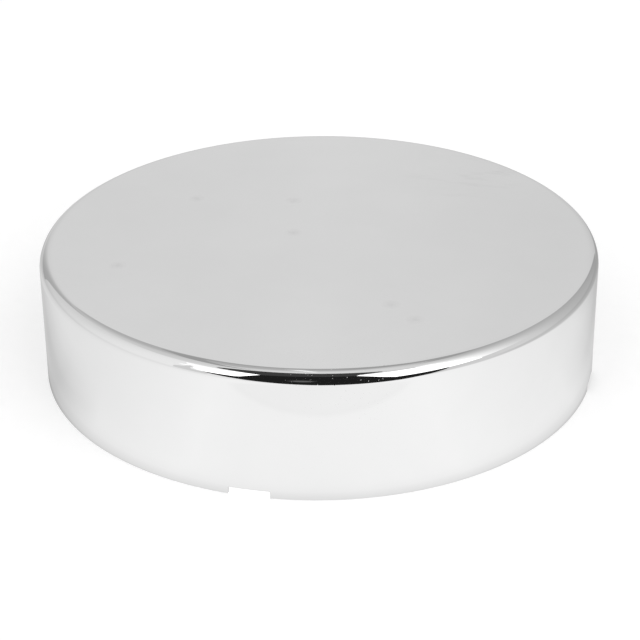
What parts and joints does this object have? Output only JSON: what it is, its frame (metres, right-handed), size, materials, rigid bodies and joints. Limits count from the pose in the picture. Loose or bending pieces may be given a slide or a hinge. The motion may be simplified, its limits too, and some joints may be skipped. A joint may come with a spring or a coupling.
{
  "type": "axle hub cover",
  "caption": "Chromed steel cup with a flat round face, a rounded edge, a straight skirt and shallow rim notches; slips over a wheel's axle hub to hide and shield its end.",
  "frame": {"origin": "centre of the rim circle, on the plane the rim rests on", "axes": "+Z along the wheel's axis, out through the closed face; a rim notch is centred on each end of the X and Y axes"},
  "size_m": [0.216, 0.216, 0.0505],
  "materials": {
    "chrome_plate": "polished"
  },
  "bodies": {
    "root": {"hub_cover": "chrome_plate"}
  },
  "joints": []
}
